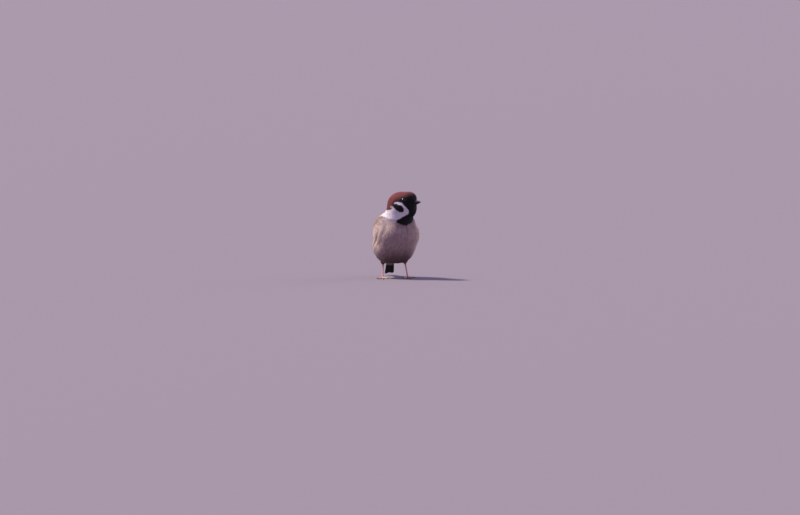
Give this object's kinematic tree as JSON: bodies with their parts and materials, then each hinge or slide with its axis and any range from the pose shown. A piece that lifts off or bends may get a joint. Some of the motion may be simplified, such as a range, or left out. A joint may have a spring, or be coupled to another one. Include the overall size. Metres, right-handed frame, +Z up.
{
  "type": "eurasian tree sparrow model",
  "caption": "Life-size still model of a tree sparrow standing upright on both feet, plumage fluffed, head turned to its left.",
  "frame": {"origin": "middle of the bird's outline seen from above, on the floor it stands on", "axes": "+Z up; the breast faces -Y; the bird's left side is +X; the tail points along +Y"},
  "size_m": [0.0518, 0.0808, 0.0992],
  "materials": {
    "cap": "soft feathers, matt chestnut",
    "neck": "soft feathers, matt off-white and grey",
    "breast": "soft feathers, matt grey-brown",
    "belly": "soft feathers, matt buff",
    "back": "soft feathers, matt brown",
    "wing": "closed feathers, faint sheen",
    "tail": "closed feathers, dark brown",
    "bill": "horn, black, satin",
    "eye": "dark brown, glossy and wet",
    "leg": "scaled skin, pinkish brown",
    "claw": "horn, dark"
  },
  "bodies": {
    "root": {"head": "cap", "neck": "neck", "trunk": "breast", "rump": "back", "wing_left_coverts": "wing", "wing_left_secondaries": "wing", "wing_left_primaries": "wing", "wing_right_coverts": "wing", "wing_right_secondaries": "wing", "wing_right_primaries": "wing", "tail": "tail", "thigh_left": "belly", "thigh_right": "belly", "bill_upper": "bill", "bill_lower": "bill", "eye_left": "eye", "eye_right": "eye", "tarsus_left": "leg", "foot_left": "leg", "tarsus_right": "leg", "foot_right": "leg", "toe_left_inner": "leg", "toe_left_middle": "leg", "toe_left_outer": "leg", "toe_left_back": "leg", "toe_right_inner": "leg", "toe_right_middle": "leg", "toe_right_outer": "leg", "toe_right_back": "leg", "claw_left_inner": "claw", "claw_left_middle": "claw", "claw_left_outer": "claw", "claw_left_back": "claw", "claw_right_inner": "claw", "claw_right_middle": "claw", "claw_right_outer": "claw", "claw_right_back": "claw"}
  },
  "joints": []
}
